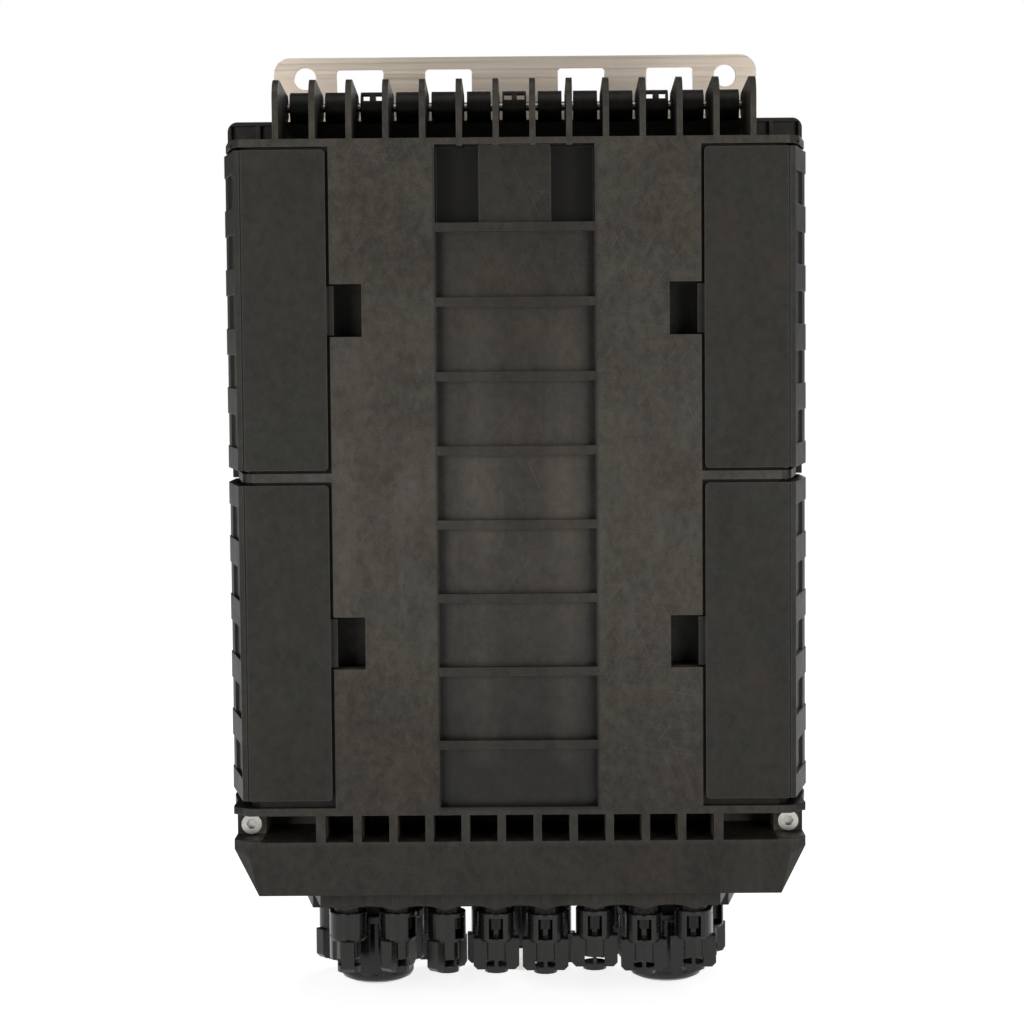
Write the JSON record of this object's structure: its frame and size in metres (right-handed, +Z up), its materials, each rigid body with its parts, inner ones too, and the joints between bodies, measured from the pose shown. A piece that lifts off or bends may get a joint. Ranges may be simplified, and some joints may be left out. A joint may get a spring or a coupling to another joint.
{
  "type": "fibre optic splice box",
  "caption": "Upright clamshell splice box with side clamp latches, hinged ribbed cover, wall and pole bracket, winged drop port plugs and domed cable caps below.",
  "frame": {"origin": "midway between the two bolt holes of the mounting bracket, on its rear face", "axes": "+X along the width, the cover faces -Y, +Y towards the wall, +Z up"},
  "size_m": [0.1986, 0.0975, 0.3333],
  "materials": {
    "housing_plastic": "moulded, faint flow marks",
    "latch_plastic": "moulded, smooth satin",
    "port_plastic": "moulded, satin",
    "adapter_plastic": "moulded",
    "stainless_plate": "cold rolled, light brush",
    "steel_fasteners": "turned",
    "seal_rubber": "soft silicone",
    "valve_metal": "plated",
    "strap_fabric": "woven",
    "lid_plastic": "smooth",
    "tray_plastic": "moulded",
    "frame_plastic": "moulded"
  },
  "bodies": {
    "housing": {"adapter_nuts": "adapter_plastic", "adapter_seals": "seal_rubber", "base_shell": "housing_plastic", "bracket_screws": "steel_fasteners", "cable_clamp_left": "frame_plastic", "cable_clamp_right": "frame_plastic", "carrier_screws": "steel_fasteners", "clamp_bars": "frame_plastic", "clamp_screws": "steel_fasteners", "cover_gasket": "seal_rubber", "cover_lock_screws": "steel_fasteners", "cover_shell": "housing_plastic", "hinge_pin": "steel_fasteners", "latch_rods": "steel_fasteners", "main_port_seals": "seal_rubber", "mounting_bracket": "stainless_plate", "port_adapters_front": "adapter_plastic", "port_adapters_rear": "adapter_plastic", "splice_holder_1": "tray_plastic", "splice_holder_2": "tray_plastic", "splice_holder_3": "tray_plastic", "splice_tray_1": "tray_plastic", "splice_tray_2": "tray_plastic", "splice_tray_3": "tray_plastic", "tray_carrier": "frame_plastic", "tray_hinge": "tray_plastic", "tray_lid": "lid_plastic", "tray_pins": "steel_fasteners", "tray_strap": "strap_fabric", "valve_body": "port_plastic"},
    "latch_upper_left": {"latch_upper_left": "latch_plastic"},
    "latch_upper_right": {"latch_upper_right": "latch_plastic"},
    "latch_lower_left": {"latch_lower_left": "latch_plastic"},
    "latch_lower_right": {"latch_lower_right": "latch_plastic"},
    "port_plug_front_1": {"port_plug_front_1": "port_plastic"},
    "port_plug_front_2": {"port_plug_front_2": "port_plastic"},
    "port_plug_front_3": {"port_plug_front_3": "port_plastic"},
    "port_plug_front_4": {"port_plug_front_4": "port_plastic"},
    "port_plug_front_5": {"port_plug_front_5": "port_plastic"},
    "port_plug_front_6": {"port_plug_front_6": "port_plastic"},
    "port_plug_front_7": {"port_plug_front_7": "port_plastic"},
    "port_plug_front_8": {"port_plug_front_8": "port_plastic"},
    "port_plug_rear_1": {"port_plug_rear_1": "port_plastic"},
    "port_plug_rear_2": {"port_plug_rear_2": "port_plastic"},
    "port_plug_rear_3": {"port_plug_rear_3": "port_plastic"},
    "port_plug_rear_4": {"port_plug_rear_4": "port_plastic"},
    "port_plug_rear_5": {"port_plug_rear_5": "port_plastic"},
    "port_plug_rear_6": {"port_plug_rear_6": "port_plastic"},
    "port_plug_rear_7": {"port_plug_rear_7": "port_plastic"},
    "port_plug_rear_8": {"port_plug_rear_8": "port_plastic"},
    "main_cap_left": {"main_cap_left": "port_plastic"},
    "main_cap_right": {"main_cap_right": "port_plastic"},
    "valve_cap": {"valve_cap": "valve_metal"}
  },
  "joints": [
    {"name": "latch_upper_left_swing", "type": "hinge", "parent": "housing", "child": "latch_upper_left", "pos_m": [-0.0947, -0.046, -0.0859], "axis": [0, 0, -1], "range_deg": [0, 110]},
    {"name": "latch_upper_right_swing", "type": "hinge", "parent": "housing", "child": "latch_upper_right", "pos_m": [0.0947, -0.046, -0.0859], "axis": [0, 0, 1], "range_deg": [0, 110]},
    {"name": "latch_lower_left_swing", "type": "hinge", "parent": "housing", "child": "latch_lower_left", "pos_m": [-0.0947, -0.046, -0.19705], "axis": [0, 0, -1], "range_deg": [0, 110]},
    {"name": "latch_lower_right_swing", "type": "hinge", "parent": "housing", "child": "latch_lower_right", "pos_m": [0.0947, -0.046, -0.19705], "axis": [0, 0, 1], "range_deg": [0, 110]},
    {"name": "port_plug_front_1_turn", "type": "hinge", "parent": "housing", "child": "port_plug_front_1", "pos_m": [-0.0595, -0.074, -0.3], "axis": [0, 0, 1], "range_deg": [-90, 0]},
    {"name": "port_plug_front_2_turn", "type": "hinge", "parent": "housing", "child": "port_plug_front_2", "pos_m": [-0.0425, -0.074, -0.3], "axis": [0, 0, 1], "range_deg": [-60, 30]},
    {"name": "port_plug_front_3_turn", "type": "hinge", "parent": "housing", "child": "port_plug_front_3", "pos_m": [-0.0255, -0.074, -0.3], "axis": [0, 0, 1], "range_deg": [-50, 40]},
    {"name": "port_plug_front_4_turn", "type": "hinge", "parent": "housing", "child": "port_plug_front_4", "pos_m": [-0.0085, -0.074, -0.3], "axis": [0, 0, 1], "range_deg": [0, 90]},
    {"name": "port_plug_front_5_turn", "type": "hinge", "parent": "housing", "child": "port_plug_front_5", "pos_m": [0.0085, -0.074, -0.3], "axis": [0, 0, 1], "range_deg": [0, 90]},
    {"name": "port_plug_front_6_turn", "type": "hinge", "parent": "housing", "child": "port_plug_front_6", "pos_m": [0.0255, -0.074, -0.3], "axis": [0, 0, 1], "range_deg": [0, 90]},
    {"name": "port_plug_front_7_turn", "type": "hinge", "parent": "housing", "child": "port_plug_front_7", "pos_m": [0.0425, -0.074, -0.3], "axis": [0, 0, 1], "range_deg": [0, 90]},
    {"name": "port_plug_front_8_turn", "type": "hinge", "parent": "housing", "child": "port_plug_front_8", "pos_m": [0.0595, -0.074, -0.3], "axis": [0, 0, 1], "range_deg": [0, 90]},
    {"name": "port_plug_rear_1_turn", "type": "hinge", "parent": "housing", "child": "port_plug_rear_1", "pos_m": [-0.0679, -0.017, -0.31], "axis": [0, 0, 1], "range_deg": [-40, 50]},
    {"name": "port_plug_rear_2_turn", "type": "hinge", "parent": "housing", "child": "port_plug_rear_2", "pos_m": [-0.04925, -0.017, -0.31], "axis": [0, 0, 1], "range_deg": [0, 90]},
    {"name": "port_plug_rear_3_turn", "type": "hinge", "parent": "housing", "child": "port_plug_rear_3", "pos_m": [-0.0306, -0.017, -0.31], "axis": [0, 0, 1], "range_deg": [0, 90]},
    {"name": "port_plug_rear_4_turn", "type": "hinge", "parent": "housing", "child": "port_plug_rear_4", "pos_m": [-0.01195, -0.017, -0.31], "axis": [0, 0, 1], "range_deg": [0, 90]},
    {"name": "port_plug_rear_5_turn", "type": "hinge", "parent": "housing", "child": "port_plug_rear_5", "pos_m": [0.01195, -0.017, -0.31], "axis": [0, 0, 1], "range_deg": [0, 90]},
    {"name": "port_plug_rear_6_turn", "type": "hinge", "parent": "housing", "child": "port_plug_rear_6", "pos_m": [0.0306, -0.017, -0.31], "axis": [0, 0, 1], "range_deg": [0, 90]},
    {"name": "port_plug_rear_7_turn", "type": "hinge", "parent": "housing", "child": "port_plug_rear_7", "pos_m": [0.04925, -0.017, -0.31], "axis": [0, 0, 1], "range_deg": [0, 90]},
    {"name": "port_plug_rear_8_turn", "type": "hinge", "parent": "housing", "child": "port_plug_rear_8", "pos_m": [0.0679, -0.017, -0.31], "axis": [0, 0, 1], "range_deg": [-40, 50]},
    {"name": "main_cap_left_turn", "type": "hinge", "parent": "housing", "child": "main_cap_left", "pos_m": [-0.0515, -0.0455, -0.31], "axis": [0, 0, 1], "range_deg": [0, 90]},
    {"name": "main_cap_right_turn", "type": "hinge", "parent": "housing", "child": "main_cap_right", "pos_m": [0.0515, -0.0455, -0.31], "axis": [0, 0, 1], "range_deg": [0, 90]},
    {"name": "valve_cap_turn", "type": "hinge", "parent": "housing", "child": "valve_cap", "pos_m": [0, -0.0455, -0.31], "axis": [0, 0, 1], "range_deg": [0, 180]}
  ]
}
